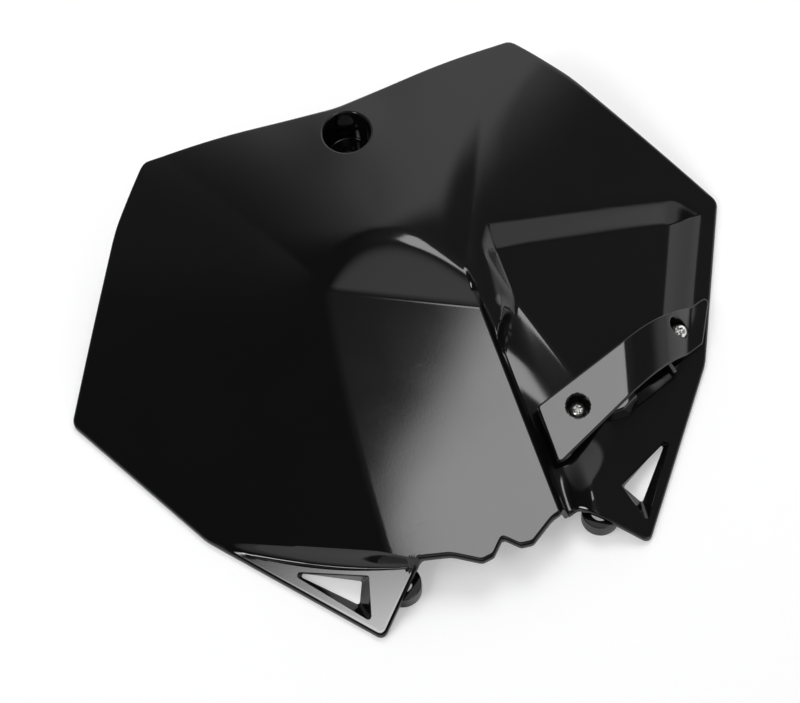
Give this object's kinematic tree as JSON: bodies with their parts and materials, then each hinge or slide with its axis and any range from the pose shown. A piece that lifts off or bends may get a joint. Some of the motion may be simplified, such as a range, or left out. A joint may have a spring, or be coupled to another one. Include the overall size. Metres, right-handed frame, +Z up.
{
  "type": "motocross front number plate",
  "caption": "Moulded shield-shaped front number plate with a recessed screw well, two leg windows, two holding lugs and a screwed-on brake hose guide",
  "frame": {"origin": "on the table that the plate rests on face up, under the middle of its width and length", "axes": "+Z up, out of the plate's front face; +Y towards the top edge with the screw well; +X towards the hose guide"},
  "size_m": [0.2836, 0.2119, 0.0572],
  "materials": {
    "plate_plastic": "gloss black moulded polypropylene",
    "guide_plastic": "gloss black moulded polypropylene",
    "screw_metal": "bright zinc plated steel"
  },
  "bodies": {
    "root": {"number_plate": "plate_plastic", "hose_guide": "guide_plastic", "guide_screws": "screw_metal"}
  },
  "joints": []
}
